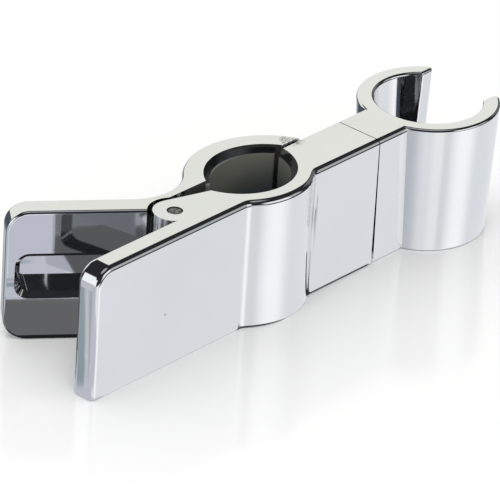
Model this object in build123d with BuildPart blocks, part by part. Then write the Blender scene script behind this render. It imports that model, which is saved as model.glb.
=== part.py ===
from build123d import *
import os
from math import asin, atan2, cos, degrees, floor, hypot, pi, radians, sin, sqrt, tan

# Shower rail slider: a sprung clamp that grips an upright rail between two jaws and carries a handset.
# Millimetres. +Z runs up the rail, +X runs along the arm to the handset cup, +Y points to the rear lever.
# The origin is on the rail's axis, half way up the part.

# Both halves
height = 33.5
edge_round = 1.3
small_round = 0.7

# How closely an edge has to match its place, and how steep an upright one is, when edges are chosen
match = 0.01
steep = 0.9

# Front half: lever, front jaw and arm in one moulding
front_jaw_radius = 14.7
front_jaw_wall = 4.2
face_offset = 14.9
crease_round = 3.0
arm_width = 13.8
arm_reach = 34.6
front_lever_reach = 62.8
front_lever_thickness = 6.2
front_corner_round = 5.0
front_jaw_left_angle = 199.5

# Pivot
pivot_x = -27.4
pivot_y = -5.9
pin_radius = 1.9
pin_recess = 0.1
pin_end_chamfer = 0.3
pin_fit = 0.02
pin_running_gap = 0.05
ear_radius = 5.2
ear_height = 6.0
swing_gap = 1.2
knuckle_radius = 4.6
knuckle_gap = 0.3
knuckle_relief = 0.5
front_cut_angles = (30.0, 90.0, 150.0)
web_angles = (50.0, 95.0, 137.0)
web_overlap = 2.1

# Rear half: lever, knuckles and hooked jaw in one moulding
rear_lever_angle = 40.0
rear_lever_reach = 38.8
rear_lever_thickness = 6.5
rear_lever_offset = 0.3
rear_corner_round = 5.5
rear_jaw_x = 2.2
rear_jaw_y = -9.3
rear_jaw_radius = 15.9
rear_skin_x = 2.6
rear_skin_y = -9.7
rear_skin_radius = 21.4
waist_radius = 13.5
jaw_gap = 0.3
rear_edge_y = -0.7

# Spring and its pockets
wire_radius = 0.75
coil_radius = 3.0
turn_gap = 0.35
bay_shoulder = 0.35
leg_length = 15.0
front_leg_slope = 5.0
rear_leg_slope = 7.0
leg_seat_gap = 0.1
front_pocket_rim = 2.9
rear_pocket_rim = 2.3
pocket_height = 9.2
pocket_corner = 2.2
pocket_lip = 1.3
pocket_lip_slope = 45.0

# Grip pads in the jaws
pad_thickness = 1.5
pad_inset = 1.6
pad_seat_gap = 0.02
front_pad_angles = (203.0, 352.0)
rear_pad_angles = (38.0, 142.0)
pad_end_round = 0.5

# Handset holder
split_gap = 0.25
neck_lean = 1.0
neck_length = 26.0
cup_radius = 17.4
cup_wall = 4.2
cup_taper = 2.4
slot_lip = 2.3
slot_round = 1.2

# Swivel behind the holder
spigot_radius = 4.5
spigot_length = 6.5
spigot_running_gap = 0.05
spigot_end_gap = 0.4
screw_radius = 2.0
screw_hole_gap = 0.2
screw_head_radius = 3.5
screw_head_height = 2.0
screw_head_dome = 0.5
screw_head_bevel = 1.0
screw_tip_bevel = 1.0
recess_width = 0.9
recess_span = 3.6
recess_depth = 1.3
recess_taper = 8.0
head_cover = 0.4
head_side_gap = 0.6
washer_radius = 3.7
washer_thickness = 0.8
disc_thickness = 0.4
disc_lift = 0.5
insert_radius = 3.0
insert_length = 8.0
insert_groove_depth = 0.35
insert_groove_width = 1.2
insert_fit = 0.02
thread_fit = 0.02
screw_end_gap = 0.8

# Worked out from the sizes above
half = height / 2
arm_back = arm_width - face_offset
arm_middle = arm_back - arm_width / 2
bulge_radius = front_jaw_radius + front_jaw_wall
lever_back = front_lever_thickness - face_offset
ear_floor = half - ear_height
knuckle_top = ear_floor - knuckle_gap
bay_half = pocket_height / 2 + bay_shoulder
relief_radius = knuckle_radius + knuckle_relief
swing_radius = ear_radius + swing_gap
cut_reach = 3 * ear_radius
rear_tip_y = arm_back + jaw_gap
rear_outer_offset = rear_lever_offset + rear_lever_thickness
leg_end_offset = coil_radius + leg_length * sin(radians(rear_leg_slope))
pocket_floor_offset = leg_end_offset + wire_radius + leg_seat_gap
turn_pitch = 2 * wire_radius + turn_gap
wire_slope = atan2(turn_pitch, 2 * pi * coil_radius)
leg_rise = leg_length * sin(wire_slope)
cup_reach = arm_reach + neck_length


def polar(radius, angle, centre=(0, 0)):
    """Gives the point at a radius and an angle in degrees round a centre."""
    return (centre[0] + radius * cos(radians(angle)), centre[1] + radius * sin(radians(angle)))


def from_pivot(radius, angle):
    """Gives the point at a radius and an angle round the pivot pin."""
    return polar(radius, angle, (pivot_x, pivot_y))


def on_rear_lever(along, out):
    """Gives the point a distance along the rear lever and a distance out from the pin's axis."""
    turn = radians(rear_lever_angle)
    return (
        pivot_x - along * cos(turn) + out * sin(turn),
        pivot_y + along * sin(turn) + out * cos(turn),
    )


def rear_lever_place(point):
    """Gives how far along the rear lever, and how far out from the pin's axis, a point lies."""
    turn = radians(rear_lever_angle)
    x = point.X - pivot_x
    y = point.Y - pivot_y
    return (y * sin(turn) - x * cos(turn), x * sin(turn) + y * cos(turn))


# Front half: corners of its outline, seen from above
ear_foot_angle = 180 + degrees(asin((pivot_y - lever_back) / ear_radius))
ear_foot = from_pivot(ear_radius, ear_foot_angle)
jaw_left = polar(front_jaw_radius, front_jaw_left_angle)
jaw_left_distance = hypot(jaw_left[0] - pivot_x, jaw_left[1] - pivot_y)
jaw_left_direction = degrees(atan2(jaw_left[1] - pivot_y, jaw_left[0] - pivot_x))
ear_tangent_angle = jaw_left_direction + 90 - degrees(asin(ear_radius / jaw_left_distance))
ear_tangent = from_pivot(ear_radius, ear_tangent_angle)
ear_top = from_pivot(ear_radius, (ear_tangent_angle + ear_foot_angle) / 2)
jaw_right = (sqrt(front_jaw_radius**2 - arm_back**2), arm_back)
bulge_reach = sqrt(bulge_radius**2 - face_offset**2)


def on_front_skin(edge):
    """Tells whether an edge lies on the outside of the front half, away from the jaw and the ear."""
    middle = edge @ 0.5
    outside_jaw = hypot(middle.X, middle.Y) > front_jaw_radius + front_jaw_wall / 2
    outer = middle.Y < lever_back + match and outside_jaw
    back_of_arm = abs(middle.Y - arm_back) < match
    return middle.X < arm_reach - match and (outer or back_of_arm)


with BuildPart() as front_half:
    with BuildSketch(Plane.XY.offset(-half)) as front_outline:
        with BuildLine():
            Polyline(
                (-bulge_reach, -face_offset),
                (-front_lever_reach, -face_offset),
                (-front_lever_reach, lever_back),
                ear_foot,
            )
            ThreePointArc(ear_foot, ear_top, ear_tangent)
            Line(ear_tangent, jaw_left)
            ThreePointArc(jaw_left, (0, -front_jaw_radius), jaw_right)
            Polyline(
                jaw_right,
                (arm_reach, arm_back),
                (arm_reach, -face_offset),
                (bulge_reach, -face_offset),
            )
            ThreePointArc((bulge_reach, -face_offset), (0, -bulge_radius), (-bulge_reach, -face_offset))
        make_face()
        creases = [v for v in front_outline.vertices() if abs(abs(v.X) - bulge_reach) < match]
        fillet(creases, crease_round)
    extrude(amount=height)

    # The lever's end has a large upper corner
    fillet(front_half.edges().group_by(Axis.X)[0].group_by(Axis.Z)[-1], front_corner_round)

    # The upper rim and the lever's end are well rounded, and the lower rim is tighter
    upper_rim = []
    for edge in front_half.edges().filter_by(on_front_skin):
        middle = edge @ 0.5
        at_end = middle.X < front_corner_round / 2 - front_lever_reach
        across = abs((edge % 0.5).Y) > steep
        if not across and (middle.Z > half - match or at_end and middle.Z > match - half):
            upper_rim.append(edge)
    fillet(upper_rim, edge_round)
    fillet(front_half.edges().group_by(Axis.Z)[0].filter_by(on_front_skin), small_round)

    # Room for the rear half's knuckles between the ears
    with BuildSketch(Plane.XY.offset(-ear_floor)):
        with Locations((pivot_x, pivot_y)):
            Circle(relief_radius)
        with BuildLine():
            Polyline(
                (pivot_x, pivot_y),
                *[from_pivot(cut_reach, angle) for angle in front_cut_angles],
                (pivot_x - cut_reach, lever_back),
                (pivot_x, lever_back),
                close=True,
            )
        make_face()
    extrude(amount=2 * ear_floor, mode=Mode.SUBTRACT)

    # Pocket for one leg of the spring, as deep as the room for the knuckles
    front_pocket_depth = lever_back - (pivot_y - relief_radius)
    front_pocket_length = front_lever_reach + pivot_x - front_pocket_rim
    with BuildSketch(Plane.XZ.offset(-lever_back)):
        with Locations((pivot_x - front_pocket_length / 2, 0)):
            RectangleRounded(front_pocket_length, pocket_height, pocket_corner)
    extrude(amount=front_pocket_depth, mode=Mode.SUBTRACT)

    # Hole for the pin through both ears
    with Locations((pivot_x, pivot_y, 0)):
        Cylinder(pin_radius + pin_fit, height, mode=Mode.SUBTRACT)

    # Socket for the holder's spigot, and behind it the hole for the threaded insert
    with BuildSketch(Plane.YZ.offset(arm_reach)):
        with Locations((arm_middle, 0)):
            Circle(spigot_radius + spigot_running_gap)
    extrude(amount=-(spigot_length + spigot_end_gap - split_gap), mode=Mode.SUBTRACT)
    socket_floor = arm_reach + split_gap - spigot_length - spigot_end_gap
    with BuildSketch(Plane.YZ.offset(socket_floor)):
        with Locations((arm_middle, 0)):
            Circle(insert_radius + insert_fit)
    extrude(amount=-insert_length, mode=Mode.SUBTRACT)

# Rear half: the waist is an arc that touches both the jaw's skin and the lever's outer face
skin_along, skin_out = rear_lever_place(Vector(rear_skin_x, rear_skin_y))
waist_out = rear_outer_offset + waist_radius
waist_along = skin_along + sqrt((rear_skin_radius + waist_radius) ** 2 - (waist_out - skin_out) ** 2)
waist = on_rear_lever(waist_along, waist_out)
skin_to_waist_angle = degrees(atan2(waist[1] - rear_skin_y, waist[0] - rear_skin_x))
waist_start_angle = skin_to_waist_angle - 180
waist_end_angle = -90 - rear_lever_angle
waist_start = polar(waist_radius, waist_start_angle, waist)
waist_low = polar(waist_radius, (waist_start_angle + waist_end_angle) / 2, waist)
waist_end = polar(waist_radius, waist_end_angle, waist)
tip_outer = (rear_skin_x + sqrt(rear_skin_radius**2 - (rear_tip_y - rear_skin_y) ** 2), rear_tip_y)
rear_jaw_half_span = sqrt(rear_jaw_radius**2 - (rear_tip_y - rear_jaw_y) ** 2)
tip_inner = (rear_jaw_x + rear_jaw_half_span, rear_tip_y)
jaw_corner = (rear_jaw_x - rear_jaw_half_span, rear_tip_y)
swing_right_angle = degrees(asin((rear_edge_y - pivot_y) / swing_radius))
swing_left_angle = 180 - rear_lever_angle - degrees(asin(rear_lever_offset / swing_radius))
swing_right = from_pivot(swing_radius, swing_right_angle)
swing_left = from_pivot(swing_radius, swing_left_angle)
swing_top = from_pivot(swing_radius, (swing_right_angle + swing_left_angle) / 2)
skin_top = (rear_skin_x, rear_skin_y + rear_skin_radius)

with BuildPart() as rear_half:
    with BuildSketch(Plane.XY.offset(-half)):
        with BuildLine():
            Line(tip_inner, tip_outer)
            ThreePointArc(tip_outer, skin_top, waist_start)
            ThreePointArc(waist_start, waist_low, waist_end)
            Polyline(
                waist_end,
                on_rear_lever(rear_lever_reach, rear_outer_offset),
                on_rear_lever(rear_lever_reach, rear_lever_offset),
                swing_left,
            )
            ThreePointArc(swing_left, swing_top, swing_right)
            Line(swing_right, jaw_corner)
            ThreePointArc(jaw_corner, (rear_jaw_x, rear_jaw_y + rear_jaw_radius), tip_inner)
        make_face()
    extrude(amount=height)

    # Large corners at the lever's end, then the outer rim along lever and jaw, and the lever's inner rim
    lever_corners = []
    for edge in rear_half.edges().group_by(Axis.Z)[0] + rear_half.edges().group_by(Axis.Z)[-1]:
        if rear_lever_place(edge @ 0.5)[0] > rear_lever_reach - match:
            lever_corners.append(edge)
    fillet(lever_corners, rear_corner_round)
    outer_rim = []
    inner_rim = []
    for edge in rear_half.edges():
        middle = edge @ 0.5
        along, out = rear_lever_place(middle)
        if along < rear_lever_reach - match and abs((edge % 0.5).Z) > steep:
            continue
        waist_distance = hypot(middle.X - waist[0], middle.Y - waist[1])
        skin_distance = hypot(middle.X - rear_skin_x, middle.Y - rear_skin_y)
        on_waist = abs(waist_distance - waist_radius) < match
        on_jaw = abs(skin_distance - rear_skin_radius) < match
        on_lever = abs(out - rear_outer_offset) < match and along > swing_radius
        if on_waist or on_jaw or on_lever:
            outer_rim.append(edge)
        elif abs(out - rear_lever_offset) < match and along > swing_radius:
            inner_rim.append(edge)
    fillet(outer_rim, edge_round)
    fillet(inner_rim, small_round)

    # Knuckles round the pin, joined to the lever by a web
    with BuildSketch(Plane.XY.offset(-knuckle_top)):
        with Locations((pivot_x, pivot_y)):
            Circle(knuckle_radius)
        with BuildLine():
            Polyline(
                (pivot_x, pivot_y),
                *[from_pivot(swing_radius + web_overlap, angle) for angle in web_angles],
                close=True,
            )
        make_face()
    extrude(amount=2 * knuckle_top)

    # Bay for the coil between the knuckles, pocket for the other leg, and the pin's hole
    with Locations((pivot_x, pivot_y, 0)):
        Cylinder(knuckle_radius, 2 * bay_half, mode=Mode.SUBTRACT)
        Cylinder(pin_radius + pin_running_gap, height, mode=Mode.SUBTRACT)
    pocket_plane = Plane(
        origin=(*on_rear_lever(0, pocket_floor_offset), 0),
        x_dir=(-cos(radians(rear_lever_angle)), sin(radians(rear_lever_angle)), 0),
        z_dir=(-sin(radians(rear_lever_angle)), -cos(radians(rear_lever_angle)), 0),
    )
    rear_pocket_length = rear_lever_reach - rear_pocket_rim - pocket_lip
    with BuildSketch(pocket_plane):
        with Locations((rear_pocket_length / 2, 0)):
            RectangleRounded(rear_pocket_length, pocket_height, pocket_corner)
    extrude(amount=2 * pocket_floor_offset, mode=Mode.SUBTRACT)

    # The pocket's mouth opens out a little all round, clear of the knuckles
    lip_plane = Plane(
        origin=(*on_rear_lever(knuckle_radius, rear_lever_offset), 0),
        x_dir=pocket_plane.x_dir,
        z_dir=-pocket_plane.z_dir,
    )
    lip_length = rear_pocket_length + pocket_lip - knuckle_radius
    with BuildSketch(lip_plane):
        with Locations((lip_length / 2, 0)):
            RectangleRounded(lip_length, pocket_height + 2 * pocket_lip, pocket_corner + pocket_lip)
    extrude(amount=pocket_lip, taper=pocket_lip_slope, mode=Mode.SUBTRACT)

with BuildPart() as pivot_pin:
    with Locations((pivot_x, pivot_y, 0)):
        Cylinder(pin_radius, height - 2 * pin_recess)
    chamfer(pivot_pin.edges().filter_by(GeomType.CIRCLE), pin_end_chamfer)

# Spring: the lower leg lies in the front pocket and the upper leg in the rear one
coil_start_angle = 270 + front_leg_slope
coil_end_angle = 90 - rear_lever_angle - rear_leg_slope
idle_turn = (coil_start_angle - coil_end_angle) / 360
coil_space = pocket_height - 2 * (leg_rise + wire_radius)
coil_turns = floor(coil_space / turn_pitch + idle_turn) - idle_turn
coil_height = turn_pitch * coil_turns


def along_wire(turns, along):
    """Gives the point that lies a distance straight along the wire from a place on the coil."""
    x, y = polar(coil_radius, 360 * turns)
    forward_x, forward_y = polar(along * cos(wire_slope), 360 * turns + 90)
    return (x + forward_x, y + forward_y, turn_pitch * turns + along * sin(wire_slope))


with BuildPart() as upright_spring:
    with BuildLine() as wire:
        Line(along_wire(0, -leg_length), along_wire(0, 0))
        Helix(pitch=turn_pitch, height=coil_height, radius=coil_radius)
        Line(along_wire(coil_turns, 0), along_wire(coil_turns, leg_length))
    with BuildSketch(Plane(origin=wire.line @ 0, z_dir=wire.line % 0)):
        Circle(wire_radius)
    sweep(path=wire.line)

with BuildPart() as torsion_spring:
    with Locations(Location((pivot_x, pivot_y, -coil_height / 2), (0, 0, coil_start_angle))):
        add(upright_spring.part)


def pad_section(centre, outer_radius, angles):
    """Draws a strip of even thickness that lies inside an arc."""
    start, end = angles
    middle = (start + end) / 2
    inner_radius = outer_radius - pad_thickness
    ends = []
    for radius in (outer_radius, inner_radius):
        arc = [polar(radius, angle, centre) for angle in (start, middle, end)]
        ThreePointArc(*arc)
        ends.append(arc)
    Line(ends[0][0], ends[1][0])
    Line(ends[0][2], ends[1][2])


with BuildPart() as front_liner:
    with BuildSketch(Plane.XY.offset(pad_inset - half)):
        with BuildLine():
            pad_section((0, 0), front_jaw_radius - pad_seat_gap, front_pad_angles)
        make_face()
    extrude(amount=height - 2 * pad_inset)
    fillet(front_liner.edges().filter_by(Axis.Z), pad_end_round)

with BuildPart() as rear_liner:
    with BuildSketch(Plane.XY.offset(pad_inset - half)):
        with BuildLine():
            pad_section((rear_jaw_x, rear_jaw_y), rear_jaw_radius - pad_seat_gap, rear_pad_angles)
        make_face()
    extrude(amount=height - 2 * pad_inset)
    fillet(rear_liner.edges().filter_by(Axis.Z), pad_end_round)

# Handset holder: a tapered cup open on the far side, with its neck and spigot
neck_start = arm_reach + split_gap
lean_run = height * tan(radians(neck_lean))
cup_shrink = height * tan(radians(cup_taper))
cup_bottom_radius = cup_radius - cup_shrink
cup_mouth_radius = cup_radius - cup_wall
cup_floor_radius = cup_bottom_radius - cup_wall
cup_middle_radius = (cup_mouth_radius + cup_floor_radius) / 2
slot_width = 2 * (cup_floor_radius - slot_lip)
cup_axis = Axis((cup_reach, arm_middle, 0), (0, 0, 1))
cup_plane = Plane(origin=(cup_reach, arm_middle, 0), x_dir=(1, 0, 0), z_dir=(0, -1, 0))
swivel_axis = Axis((0, arm_middle, 0), (1, 0, 0))
swivel_plane = Plane(origin=(0, arm_middle, 0), x_dir=(1, 0, 0), z_dir=(0, -1, 0))
seat_depth = head_cover + screw_head_height + washer_thickness + disc_thickness + disc_lift
screw_seat = cup_reach - cup_middle_radius - seat_depth

with BuildPart() as cup_ring:
    with BuildSketch(cup_plane):
        Polygon(
            (cup_floor_radius, -half),
            (cup_bottom_radius, -half),
            (cup_radius, half),
            (cup_mouth_radius, half),
            align=None,
        )
    revolve(axis=cup_axis)

    # Slot that the handset's hose passes through
    with Locations((cup_reach + cup_radius, arm_middle, 0)):
        Box(2 * cup_radius, slot_width, 2 * height, mode=Mode.SUBTRACT)
    fillet([edge for edge in cup_ring.edges() if abs((edge % 0.5).Z) > steep], slot_round)
    fillet(cup_ring.edges().group_by(Axis.Z)[0] + cup_ring.edges().group_by(Axis.Z)[-1], small_round)

with BuildPart() as handset_holder:
    with BuildSketch(Plane.YZ.offset(neck_start)):
        with Locations((arm_middle, 0)):
            RectangleRounded(arm_width, height, edge_round)
    extrude(amount=cup_reach - neck_start)

    # The neck ends inside the cup's wall
    with Locations((cup_reach, arm_middle, 0)):
        Cone(
            cup_floor_radius + cup_wall / 2,
            cup_mouth_radius + cup_wall / 2,
            height,
            mode=Mode.SUBTRACT,
        )
    add(cup_ring.part)

    # The neck's end face leans a little, so the split widens towards the bottom
    with BuildSketch(swivel_plane):
        Polygon(
            (neck_start, half),
            (neck_start + lean_run, -half),
            (neck_start - lean_run, -half),
            align=None,
        )
    extrude(amount=arm_width, both=True, mode=Mode.SUBTRACT)

    # Spigot, screw hole and the seat of the screw's head inside the cup
    with BuildSketch(Plane.YZ.offset(neck_start + lean_run)):
        with Locations((arm_middle, 0)):
            Circle(spigot_radius)
    extrude(amount=-(spigot_length + lean_run))
    with BuildSketch(Plane.YZ.offset(neck_start - spigot_length)):
        with Locations((arm_middle, 0)):
            Circle(screw_radius + screw_hole_gap)
    extrude(amount=cup_reach - neck_start, mode=Mode.SUBTRACT)
    with BuildSketch(Plane.YZ.offset(screw_seat)):
        with Locations((arm_middle, 0)):
            Circle(screw_head_radius + head_side_gap)
    extrude(amount=cup_reach - screw_seat, mode=Mode.SUBTRACT)

# Fasteners lie on the arm's middle line, each on a plane that faces the cup
disc_seat = screw_seat
washer_seat = disc_seat + disc_thickness + disc_lift
head_seat = washer_seat + washer_thickness
insert_start = socket_floor - insert_length
screw_tip = insert_start + screw_end_gap

with BuildPart() as disc_spring:
    with BuildSketch(swivel_plane):
        Polygon(
            (disc_seat, washer_radius),
            (disc_seat + disc_lift, screw_radius + screw_hole_gap),
            (disc_seat + disc_lift + disc_thickness, screw_radius + screw_hole_gap),
            (disc_seat + disc_thickness, washer_radius),
            align=None,
        )
    revolve(axis=swivel_axis)

with BuildPart() as flat_washer:
    with BuildSketch(Plane.YZ.offset(washer_seat)):
        with Locations((arm_middle, 0)):
            Circle(washer_radius)
            Circle(screw_radius + screw_hole_gap, mode=Mode.SUBTRACT)
    extrude(amount=washer_thickness)

with BuildPart() as swivel_screw:
    with BuildSketch(swivel_plane):
        Polygon(
            (screw_tip, 0),
            (screw_tip, screw_radius - screw_tip_bevel),
            (screw_tip + screw_tip_bevel, screw_radius),
            (head_seat, screw_radius),
            (head_seat, screw_head_radius),
            (head_seat + screw_head_height - screw_head_dome, screw_head_radius),
            (head_seat + screw_head_height, screw_head_radius - screw_head_bevel),
            (head_seat + screw_head_height, 0),
            align=None,
        )
    revolve(axis=swivel_axis)
    with BuildSketch(Plane.YZ.offset(head_seat + screw_head_height)):
        with Locations((arm_middle, 0)):
            Rectangle(recess_span, recess_width)
            Rectangle(recess_width, recess_span)
    extrude(amount=-recess_depth, taper=recess_taper, mode=Mode.SUBTRACT)

with BuildPart() as threaded_insert:
    groove_start = insert_start + (insert_length - insert_groove_width) / 2
    with BuildSketch(swivel_plane):
        Polygon(
            (insert_start, screw_radius + thread_fit),
            (insert_start, insert_radius),
            (groove_start, insert_radius),
            (groove_start, insert_radius - insert_groove_depth),
            (groove_start + insert_groove_width, insert_radius - insert_groove_depth),
            (groove_start + insert_groove_width, insert_radius),
            (socket_floor, insert_radius),
            (socket_floor, screw_radius + thread_fit),
            align=None,
        )
    revolve(axis=swivel_axis)

front_half.part.label = "front_half"
rear_half.part.label = "rear_half"
pivot_pin.part.label = "pivot_pin"
torsion_spring.part.label = "torsion_spring"
front_liner.part.label = "front_liner"
rear_liner.part.label = "rear_liner"
handset_holder.part.label = "handset_holder"
swivel_screw.part.label = "swivel_screw"
flat_washer.part.label = "flat_washer"
disc_spring.part.label = "disc_spring"
threaded_insert.part.label = "threaded_insert"

os.makedirs("parts", exist_ok=True)
export_step(front_half.part, "parts/front_half.step")
export_step(rear_half.part, "parts/rear_half.step")
export_step(pivot_pin.part, "parts/pivot_pin.step")
export_step(torsion_spring.part, "parts/torsion_spring.step")
export_step(front_liner.part, "parts/front_liner.step")
export_step(rear_liner.part, "parts/rear_liner.step")
export_step(handset_holder.part, "parts/handset_holder.step")
export_step(swivel_screw.part, "parts/swivel_screw.step")
export_step(flat_washer.part, "parts/flat_washer.step")
export_step(disc_spring.part, "parts/disc_spring.step")
export_step(threaded_insert.part, "parts/threaded_insert.step")
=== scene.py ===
from math import cos, pi, radians, sin

import bpy
from mathutils import Matrix, Vector


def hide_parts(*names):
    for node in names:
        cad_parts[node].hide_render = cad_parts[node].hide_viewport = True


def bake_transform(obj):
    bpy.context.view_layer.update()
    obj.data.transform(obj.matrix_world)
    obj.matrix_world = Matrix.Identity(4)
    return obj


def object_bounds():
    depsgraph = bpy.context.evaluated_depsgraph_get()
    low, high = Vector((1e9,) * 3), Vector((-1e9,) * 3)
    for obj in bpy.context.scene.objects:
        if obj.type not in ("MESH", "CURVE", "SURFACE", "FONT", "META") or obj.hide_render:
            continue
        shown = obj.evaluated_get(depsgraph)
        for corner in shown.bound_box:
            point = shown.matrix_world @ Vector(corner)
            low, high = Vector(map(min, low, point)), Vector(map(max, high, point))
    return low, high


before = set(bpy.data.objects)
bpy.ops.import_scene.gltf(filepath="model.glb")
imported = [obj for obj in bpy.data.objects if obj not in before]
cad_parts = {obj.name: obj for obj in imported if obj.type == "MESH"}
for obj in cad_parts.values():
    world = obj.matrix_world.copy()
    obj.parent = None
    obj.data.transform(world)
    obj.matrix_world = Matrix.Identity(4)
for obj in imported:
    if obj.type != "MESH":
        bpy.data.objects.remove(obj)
cad_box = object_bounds()

# Shower rail slider on a white studio floor. Metres, in the part's own frame:
# +Z runs up the rail, +X runs along the arm to the handset cup, +Y points to the rear lever.
ground = cad_box[0][2]

# The photograph's camera: it turns round the upright, tilts down and leans a little. Angles in degrees.
camera_turn = -49.778
camera_tilt = 28.396
camera_lean = 3.595
camera_distance = 1.28647
camera_side_shift = 0.00524
camera_rise = 0.00939
camera_lens = 390.73
sensor_width = 36.0
view_depth = 20

# The soft lamp over the front of the part, the floor and the distances between which it fades to white,
# and the white of the room that lights the part
lamp_place = (-0.5, -0.3, 1.2)
lamp_size = 0.7
lamp_power = 6
floor_size = 6
floor_fade = (0.10, 0.22)
room_white = (0.86, 0.86, 0.86)

# The studio that the plating mirrors. Each panel has a compass angle, a half width and a half width of its
# soft edge, all in degrees, and its screen colour as it looks in the plating. Later panels hang in front.
plating_tone = 0.77
low_plain = (214, 216, 220)
low_panels = [
    (93, 36, 16, (70, 76, 85)),
    (172, 36, 14, (176, 180, 187)),
    (242, 10, 7, (227, 227, 228)),
    (257, 6, 5, (208, 211, 214)),
    (287, 18, 14, (242, 242, 244)),
]
high_plain = (38, 39, 42)
high_panels = [
    (62, 34, 4, (222, 223, 216)),
    (163, 29, 4, (237, 239, 242)),
    (287, 22, 7, (233, 234, 236)),
    (316, 10, 4, (162, 167, 165)),
    (4, 15, 6, (100, 101, 104)),
]

# Where one part of the studio gives way to the next, by the upward part of the direction looked in
horizon = (-0.03, 0.03)
ceiling_edge = (0.53, 0.57)
overhead_edge = (0.90, 0.96)
skirting_foot = (-0.31, -0.26)
skirting_top = (0.02, 0.06)

# The dark skirting's two ends, in turns from the -X side, and the colours of the skirting and the ceiling
skirting_start = (0.20, 0.26)
skirting_end = (0.56, 0.62)
skirting_colour = (0.03, 0.03, 0.035)
ceiling_colour = (0.025, 0.025, 0.03)
overhead_colour = (0.42, 0.43, 0.45)

# Shaded floor that shows in the plating only: centre, half sizes, turn in degrees, squareness, softness
# and screen colour. Later shades lie on top.
shades = [
    ((-0.0810, -0.0290), (0.0170, 0.0190), 0, 3, 0.5, (184, 185, 197)),
    ((-0.0665, -0.0045), (0.0110, 0.0120), 0, 4, 0.4, (184, 186, 197)),
    ((-0.0928, 0.0169), (0.0360, 0.0011), -43, 8, 0.7, (138, 151, 157)),
    ((-0.0928, 0.0135), (0.0360, 0.0006), -43, 8, 0.7, (158, 159, 165)),
    ((-0.0560, 0.0058), (0.0205, 0.0095), -40, 8, 0.15, (97, 97, 99)),
    ((-0.0430, 0.0066), (0.0200, 0.0013), -40, 8, 0.3, (28, 28, 30)),
    ((0.0230, -0.0145), (0.0115, 0.0012), 0, 8, 0.3, (50, 51, 54)),
    ((-0.0030, -0.0100), (0.0120, 0.0088), 0, 2, 0.05, (60, 62, 66)),
    ((0.0606, -0.0080), (0.0158, 0.0158), 0, 2, 0.05, (24, 26, 29)),
]

# Places of marks: the hinge's axis, round which the upright walls are darker brown and rougher in streaks, the tip
# of the rear jaw, which is left rough, the crease beside the front jaw, which gets streaks of painted bluish
# shade, and the speck on the front lever
hinge = (-0.0274, -0.0059)
jaw_tip = (0.0190, -0.0008, 0.0168)
crease = (0.0117, -0.0151)
speck = (-0.0391, -0.0149, -0.0026)

# How far each mark reaches: its full strength ends at the first distance and the mark at the second.
# The painted shadow round the pin's end starts at the first and is full at the second.
speck_reach = (0.00015, 0.00035)
tip_reach = (0.0022, 0.0036)
hinge_reach = (0.0055, 0.0085)
crease_reach = (0.0008, 0.0018)
pin_shadow_reach = (0.00125, 0.00175)

# Heights between which a finish changes, and upward parts of a surface's normal, squared for the plating
upright_limits = (0.2, 0.5)
pad_wall_limits = (0.5, 0.8)
# The crease's painted shade fades in over these heights
crease_heights = (-0.008, 0.012)
# The pads' painted light, painted shade and painted highlight change over these heights; the highlight ends along
# X at the last
pad_light_heights = (-0.002, 0.012)
pad_shade_heights = (-0.010, 0.004)
pad_highlight_heights = (0.0145, 0.0148)
pad_highlight_end = (-0.004, 0.008)

# Surface colours, as shares of the light that comes back
plating_dull = (0.755, 0.76, 0.765)
plating_bright = (0.785, 0.79, 0.795)
# A painted bluish shade, streaked in the crease
crease_painted_shade = (0.10, 0.14, 0.19)
rough_plating = (0.55, 0.55, 0.55)
hinge_brown = (0.17, 0.165, 0.15)
speck_grey = (0.30, 0.30, 0.31)
pin_pits = (0.07, 0.07, 0.065)
pin_bright = (0.50, 0.50, 0.48)
# Painted shadow round the rim of the pin's end
pin_rim_shadow = (0.05, 0.05, 0.05)
# For the pads: painted shade, the mid tone of their wall, brownish painted light and a painted highlight
pad_shadow = (0.006, 0.007, 0.008)
pad_green = (0.042, 0.055, 0.062)
pad_painted_light = (0.185, 0.185, 0.160)
pad_lip_highlight = (0.42, 0.42, 0.40)
floor_white = (0.93, 0.93, 0.93)
plain_white = (1, 1, 1)

# Levels of a cloudy pattern between which a finish changes, and the strength of the crease's streaks of painted
# shade
cloud_levels = (0.3, 0.7)
tip_pit_levels = (0.42, 0.58)
hinge_streak_levels = (0.35, 0.60)
streak_levels = (0.44, 0.56)
streak_strength = 0.85
pin_pit_levels = (0.38, 0.62)

# Roughness of the finishes, and what each pattern or mark adds to it
plating_rough = 0.03
haze_rough = 0.04
speck_rough = 0.3
hinge_darkening_rough = 0.25
tip_rough = 0.35
pin_rough = 0.30
pit_rough = 0.25
brush_rough = 0.15
pad_rough = 0.34
pad_grain_rough = 0.15
floor_rough = 0.10
glaze_rough = 0.05

# How the pads' painted light and painted shade lean along X, how the painted light's edge wavers, and how little
# the rubber shines
light_lean = 0.5
light_edge_waver = 0.003
shade_lean = 0.3
pad_shine = 0.3

# Metals inside the part: how dull their brush marks are, and their tints and roughness
brush_shade = 0.8
spring_tint = (0.56, 0.57, 0.58)
spring_rough = 0.25
screw_tint = (0.66, 0.67, 0.68)
screw_rough = 0.22
brass_tint = (0.72, 0.56, 0.27)
brass_rough = 0.30

# The spring's coil, and how its copy is merged and smoothed
merge_distance = 0.00001
smooth_angle = 40


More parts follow.
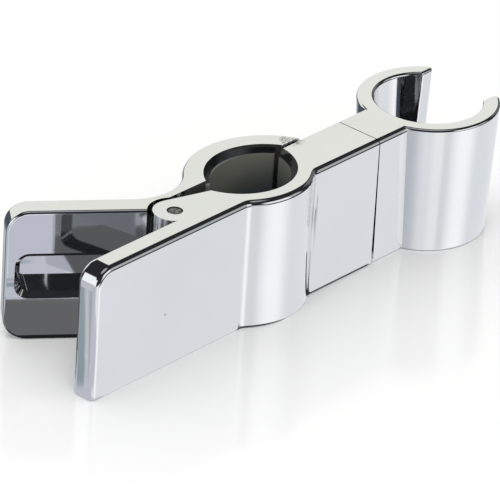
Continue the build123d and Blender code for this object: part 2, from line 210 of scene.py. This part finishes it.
class Signal:
    """A shader socket that adds, multiplies and mixes as a formula, each step making its own node."""

    def __init__(self, tree, socket=None):
        self.tree = tree
        self.socket = socket

    def node(self, kind, inputs=(), output=0, **settings):
        """Adds any node: its settings come first, then the values or links of its sockets."""
        made = self.tree.nodes.new(kind)
        for name, value in settings.items():
            setattr(made, name, value)
        for name, value in dict(inputs).items():
            if isinstance(value, Signal):
                self.tree.links.new(value.socket, made.inputs[name])
            else:
                made.inputs[name].default_value = value
        return Signal(self.tree, made.outputs[output] if made.outputs else None)

    def math(self, operation, *values):
        """Adds a Math node on numbers."""
        return self.node("ShaderNodeMath", dict(enumerate(values)), operation=operation)

    def __add__(self, other):
        return self.math("ADD", self, other)

    def __radd__(self, other):
        return self.math("ADD", other, self)

    def __sub__(self, other):
        return self.math("SUBTRACT", self, other)

    def __rsub__(self, other):
        return self.math("SUBTRACT", other, self)

    def __mul__(self, other):
        return self.math("MULTIPLY", self, other)

    def __rmul__(self, other):
        return self.math("MULTIPLY", other, self)

    def __pow__(self, other):
        return self.math("POWER", self, other)

    def size(self):
        """Drops the sign of a number."""
        return self.math("ABSOLUTE", self)

    def place(self):
        """Gives the place on the piece, in metres."""
        return self.node("ShaderNodeTexCoord", output="Object")

    def facing_up(self):
        """Gives the upward part of the piece's own normal."""
        return self.node("ShaderNodeTexCoord", output="Normal").split()[2]

    def split(self):
        """Gives the three parts of a vector."""
        parts = self.node("ShaderNodeSeparateXYZ", {"Vector": self}).socket.node.outputs
        return [Signal(self.tree, part) for part in parts]

    def distance(self, point):
        """Gives the distance of a place from a point in space, or from an upright line where it has no height."""
        place = self
        if len(point) == 2:
            place = self.node("ShaderNodeVectorMath", {0: self, 1: (1, 1, 0)}, operation="MULTIPLY")
            point = (*point, 0)
        inputs = {0: place, 1: point}
        return self.node("ShaderNodeVectorMath", inputs, output="Value", operation="DISTANCE")

    def step(self, low, high):
        """Rises smoothly from 0 at low to 1 at high."""
        inputs = {"Value": self, "From Min": low, "From Max": high}
        return self.node("ShaderNodeMapRange", inputs, interpolation_type="SMOOTHSTEP")

    def mix(self, first, second):
        """Blends two colours by this share. Sockets 6 and 7 of the node take the colours."""
        inputs = {0: self, 6: opaque(first), 7: opaque(second)}
        return self.node("ShaderNodeMix", inputs, output=2, data_type="RGBA")

    def noise(self, scale, detail=2.0, stretch=(1, 1, 1)):
        """Gives a cloudy pattern on the piece, with scale in features a metre."""
        place = self.node("ShaderNodeMapping", {"Vector": self.place(), "Scale": stretch})
        inputs = {"Vector": place, "Scale": scale, "Detail": detail}
        return self.node("ShaderNodeTexNoise", inputs, output="Fac")

    def bump(self, height, distance):
        """Turns a height pattern into a bumped surface, with the distance in metres."""
        return self.node("ShaderNodeBump", {"Height": height, "Distance": distance}, output="Normal")


def opaque(tone):
    """Gives a colour its fourth number, and leaves a linked colour as it is."""
    return tone if isinstance(tone, Signal) else (*tone, 1)


def screen_colour(tone):
    """Turns a screen colour, as it looks in the plating, into the light that falls on the plating."""
    light = []
    for part in tone:
        level = part / 255
        light.append((level / 12.92 if level < 0.04 else ((level + 0.055) / 1.055) ** 2.4) / plating_tone)
    return tuple(light)


def finish_material(name, build):
    """Makes a material whose surface the build function gives from an empty shader."""
    material = bpy.data.materials.new(name)
    material.use_nodes = True
    material.node_tree.nodes.clear()
    start = Signal(material.node_tree)
    surface = build(start)
    start.node("ShaderNodeOutputMaterial", {"Surface": surface})
    return material


def chrome(start):
    """Bright chrome plating on moulded plastic, with a speck, darker brown streaks round the hinge, painted bluish
    shade streaked in the crease and a rough tip.
    """
    ripple = start.noise(scale=90, detail=1)
    haze = start.noise(scale=420, detail=3)
    cloud = start.noise(scale=35)
    streaks = start.noise(scale=700, detail=3, stretch=(1, 1, 0.12))
    pits = start.noise(scale=2600)
    place = start.place()
    facing = start.facing_up()
    upright = 1 - (facing * facing).step(*upright_limits)
    spot = 1 - place.distance(speck).step(*speck_reach)
    rough_tip = (1 - place.distance(jaw_tip).step(*tip_reach)) * pits.step(*tip_pit_levels)
    # Darker brown, rougher streaks on the upright walls round the hinge's axis
    hinge_darkening = (1 - place.distance(hinge).step(*hinge_reach)) * upright * streaks.step(*hinge_streak_levels)
    high = place.split()[2].step(*crease_heights)
    high_streaks = high * streaks.step(*streak_levels) * streak_strength
    # Painted bluish shade in streaks, high on the upright walls of the crease beside the front jaw
    crease_shade = (1 - place.distance(crease).step(*crease_reach)) * upright * high_streaks
    plating = cloud.step(*cloud_levels).mix(plating_dull, plating_bright)
    crease_shaded = crease_shade.mix(plating, crease_painted_shade)
    worn = rough_tip.mix(crease_shaded, rough_plating)
    hinge_darkened = hinge_darkening.mix(worn, hinge_brown)
    rough = plating_rough + haze_rough * haze + speck_rough * spot + hinge_darkening_rough * hinge_darkening + tip_rough * rough_tip
    inputs = {
        "Base Color": spot.mix(hinge_darkened, speck_grey),
        "Metallic": 1.0,
        "Roughness": rough,
        "Normal": start.bump(ripple, distance=0.00003),
    }
    return start.node("ShaderNodeBsdfPrincipled", inputs)


def steel(start, tint, rough):
    """Plain metal, finely brushed."""
    grain = start.noise(scale=900, stretch=(1, 1, 6))
    dull_tint = [brush_shade * share for share in tint]
    inputs = {
        "Base Color": grain.mix(dull_tint, tint),
        "Metallic": 1.0,
        "Roughness": rough + brush_rough * grain,
        "Normal": start.bump(grain, distance=0.00001),
    }
    return start.node("ShaderNodeBsdfPrincipled", inputs)


def pin_steel(start):
    """Worn steel of the pivot pin, its end pitted, with a painted shadow round its rim."""
    pits = start.noise(scale=1500, detail=3)
    # A painted shadow darkens the rim of the pin's end
    rim_shadow = start.place().distance(hinge).step(*pin_shadow_reach)
    worn = pits.step(*pin_pit_levels).mix(pin_pits, pin_bright)
    inputs = {
        "Base Color": rim_shadow.mix(worn, pin_rim_shadow),
        "Metallic": 1.0,
        "Roughness": pin_rough + pit_rough * pits,
        "Normal": start.bump(pits, distance=0.00008),
    }
    return start.node("ShaderNodeBsdfPrincipled", inputs)


def spring_steel(start):
    """Drawn spring wire and the disc spring."""
    return steel(start, spring_tint, spring_rough)


def screw_steel(start):
    """Zinc-plated screw and washer."""
    return steel(start, screw_tint, screw_rough)


def insert_brass(start):
    """Brass of the threaded insert."""
    return steel(start, brass_tint, brass_rough)


def grip_rubber(start):
    """Dark rubber of the grip pads, with brownish painted light high on the wall, painted shade below and on the
    top, and a painted highlight along the top inner edge.
    """
    grain = start.noise(scale=2200, detail=3)
    cloud = start.noise(scale=160)
    x, _, z = start.place().split()
    wall = 1 - start.facing_up().step(*pad_wall_limits)
    # Brownish painted light high on the wall, leaning along X with a wavering edge
    high = (z - light_lean * x + light_edge_waver * cloud).step(*pad_light_heights) * wall
    # Painted shade low on the wall; the top faces, outside the wall mask, take the painted shade too
    low = (z + shade_lean * x).step(*pad_shade_heights) * wall
    # A painted highlight along the pad's top inner edge
    lip_highlight = z.step(*pad_highlight_heights) * wall * (1 - x.step(*pad_highlight_end))
    dark = low.mix(pad_shadow, pad_green)
    lit_wall = high.mix(dark, pad_painted_light)
    inputs = {
        "Base Color": lip_highlight.mix(lit_wall, pad_lip_highlight),
        "Roughness": pad_rough + pad_grain_rough * grain,
        "Specular IOR Level": pad_shine,
        "Normal": start.bump(grain, distance=0.00002),
    }
    return start.node("ShaderNodeBsdfPrincipled", inputs)


def white_floor(start):
    """Glossy white floor that fades to plain white away from the part, with shades for the plating alone."""
    place = start.place()
    far = place.distance((0, 0, 0)).step(*floor_fade)
    camera_ray = start.node("ShaderNodeLightPath", output="Is Camera Ray")
    glossy_ray = start.node("ShaderNodeLightPath", output="Is Glossy Ray")
    glaze = start.noise(scale=14, detail=1)
    inputs = {"Base Color": opaque(floor_white), "Roughness": floor_rough + glaze_rough * glaze}
    gloss = start.node("ShaderNodeBsdfPrincipled", inputs)
    plain = start.node("ShaderNodeEmission", {"Color": opaque(plain_white), "Strength": 1.0})
    seen = start.node("ShaderNodeMixShader", {0: camera_ray * far, 1: gloss, 2: plain})
    tone = plain_white
    bare = 1.0
    for centre, sizes, turn, squareness, softness, shade in shades:
        placing = {
            "Vector": place,
            "Location": (*centre, 0),
            "Rotation": (0, 0, radians(turn)),
            "Scale": (*sizes, 1),
        }
        across, along, _ = start.node("ShaderNodeMapping", placing, vector_type="TEXTURE").split()
        reach = across.size() ** squareness + along.size() ** squareness
        inside = 1 - reach.step(1 - softness, 1 + softness)
        tone = inside.mix(tone, screen_colour(shade))
        bare = bare * (1 - inside)
    clear = start.node("ShaderNodeBsdfTransparent")
    dark = start.node("ShaderNodeEmission", {"Color": tone})
    mirrored = start.node("ShaderNodeMixShader", {0: bare, 1: dark, 2: clear})
    return start.node("ShaderNodeMixShader", {0: glossy_ray, 1: seen, 2: mirrored})


def dress(names, material):
    """Gives CAD pieces a material."""
    for name in names:
        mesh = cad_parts[name].data
        mesh.materials.clear()
        mesh.materials.append(material)


def hang(compass, plain, panels):
    """Hangs panels round the studio in front of a plain wall, and gives the colour at the compass angle."""
    wall = screen_colour(plain)
    for middle, half_width, softness, tone in panels:
        # The angle from the panel's middle, taken the short way round
        turn = compass.math("FRACT", compass + (1.5 - middle / 360)) - 0.5
        away = turn.size() * 360
        inside = 1 - away.step(half_width - softness, half_width + softness)
        wall = inside.mix(wall, screen_colour(tone))
    return wall


def studio_world():
    """White surroundings, in which the plating mirrors panels, a dark skirting and a dark ceiling."""
    world = bpy.data.worlds.new("studio")
    bpy.context.scene.world = world
    world.use_nodes = True
    world.node_tree.nodes.clear()
    start = Signal(world.node_tree)
    x, y, z = start.node("ShaderNodeTexCoord", output="Generated").split()
    # The compass angle looked in, in turns from +X
    compass = x.math("FRACT", x.math("ARCTAN2", y, x) * (0.5 / pi))
    turned = compass.math("FRACT", compass + 0.5)
    near_side = turned.step(*skirting_start) * (1 - turned.step(*skirting_end))
    skirting = near_side * z.step(*skirting_foot) * (1 - z.step(*skirting_top))
    walls = z.step(*horizon).mix(hang(compass, low_plain, low_panels), hang(compass, high_plain, high_panels))
    walls = skirting.mix(walls, skirting_colour)
    ceiling = z.step(*overhead_edge).mix(ceiling_colour, overhead_colour)
    mirrored = z.step(*ceiling_edge).mix(walls, ceiling)
    glossy_ray = start.node("ShaderNodeLightPath", output="Is Glossy Ray")
    camera_ray = start.node("ShaderNodeLightPath", output="Is Camera Ray")
    plain = camera_ray.mix(room_white, plain_white)
    light = start.node("ShaderNodeBackground", {"Color": glossy_ray.mix(plain, mirrored), "Strength": 1.0})
    start.node("ShaderNodeOutputWorld", {"Surface": light})


def blended_spring():
    """Copies the clamp's spring with its vertices merged and smooth shading, and hides the CAD piece."""
    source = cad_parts["torsion_spring"]
    wire = bpy.data.objects.new("spring_wire", source.data.copy())
    wire.data.transform(source.matrix_world)
    bpy.context.collection.objects.link(wire)
    bpy.ops.object.select_all(action="DESELECT")
    wire.select_set(True)
    bpy.context.view_layer.objects.active = wire
    bpy.ops.object.mode_set(mode="EDIT")
    bpy.ops.mesh.select_all(action="SELECT")
    bpy.ops.mesh.remove_doubles(threshold=merge_distance)
    bpy.ops.object.mode_set(mode="OBJECT")
    bpy.ops.object.shade_smooth_by_angle(angle=radians(smooth_angle))
    wire.data.materials.clear()
    wire.data.materials.append(finish_material("spring_wire", spring_steel))
    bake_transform(wire)
    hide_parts("torsion_spring")


def soft_lamp():
    """Hangs a square soft lamp that faces the part."""
    bpy.ops.object.light_add(type="AREA", location=lamp_place)
    lamp = bpy.context.object
    lamp.name = "key"
    lamp.data.size = lamp_size
    lamp.data.energy = lamp_power
    lamp.visible_glossy = False
    lamp.rotation_euler = (-Vector(lamp_place)).to_track_quat("-Z", "Y").to_euler()


def photo_camera():
    """Looks at the part from where the photograph was taken."""
    turn, tilt, lean = radians(camera_turn), radians(camera_tilt), radians(camera_lean)
    back = Vector((sin(turn) * cos(tilt), -cos(turn) * cos(tilt), sin(tilt)))
    level = Vector((cos(turn), sin(turn), 0))
    rise = back.cross(level)
    right = cos(lean) * level + sin(lean) * rise
    up = cos(lean) * rise - sin(lean) * level
    place = right * camera_side_shift + up * camera_rise + back * camera_distance + Vector((0, 0, ground))
    bpy.ops.object.camera_add()
    camera = bpy.context.object
    camera.matrix_world = Matrix.Translation(place) @ Matrix((right, up, back)).transposed().to_4x4()
    camera.data.lens = camera_lens
    camera.data.sensor_width = sensor_width
    camera.data.clip_end = view_depth
    bpy.context.scene.camera = camera


def floor():
    """Lays the white floor under the part."""
    bpy.ops.mesh.primitive_plane_add(size=floor_size, location=(0, 0, ground))
    slab = bpy.context.object
    slab.name = "studio_floor"
    slab.data.materials.append(finish_material("white_floor", white_floor))


photo_camera()
studio_world()
floor()
soft_lamp()

dress(("front_half", "rear_half", "handset_holder"), finish_material("chrome_plating", chrome))
dress(("pivot_pin",), finish_material("pin_steel", pin_steel))
dress(("torsion_spring", "disc_spring"), finish_material("spring_steel", spring_steel))
dress(("swivel_screw", "flat_washer"), finish_material("screw_steel", screw_steel))
dress(("threaded_insert",), finish_material("insert_brass", insert_brass))
dress(("front_liner", "rear_liner"), finish_material("grip_rubber", grip_rubber))

blended_spring()

bpy.context.scene.view_settings.view_transform = "Standard"
